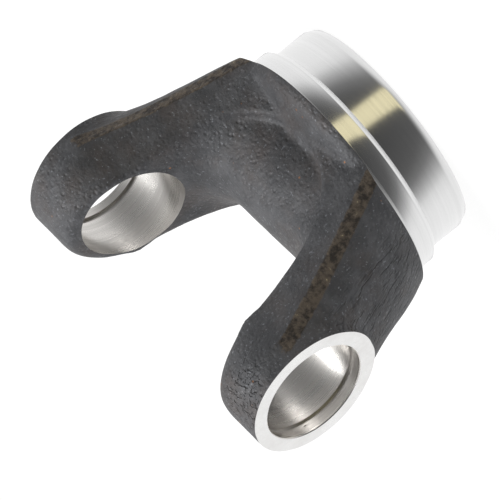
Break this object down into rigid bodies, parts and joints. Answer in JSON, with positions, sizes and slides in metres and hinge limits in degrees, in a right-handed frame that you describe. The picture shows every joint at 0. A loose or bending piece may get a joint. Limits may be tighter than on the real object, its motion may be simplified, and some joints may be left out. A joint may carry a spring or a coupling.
{
  "type": "weld yoke",
  "caption": "Forged steel yoke for a universal joint: ears with cross bores on a round hub, and a turned pilot that welds into a drive-shaft tube.",
  "frame": {"origin": "centre of the flat weld-end face", "axes": "+Z from the weld end towards the ears, +X along the axis of the cross bores, +Y out of one flank"},
  "size_m": [0.0898, 0.065, 0.0764],
  "materials": {
    "forged_steel": "dark forging scale with bright machined faces"
  },
  "bodies": {
    "root": {"forged_yoke": "forged_steel"}
  },
  "joints": []
}
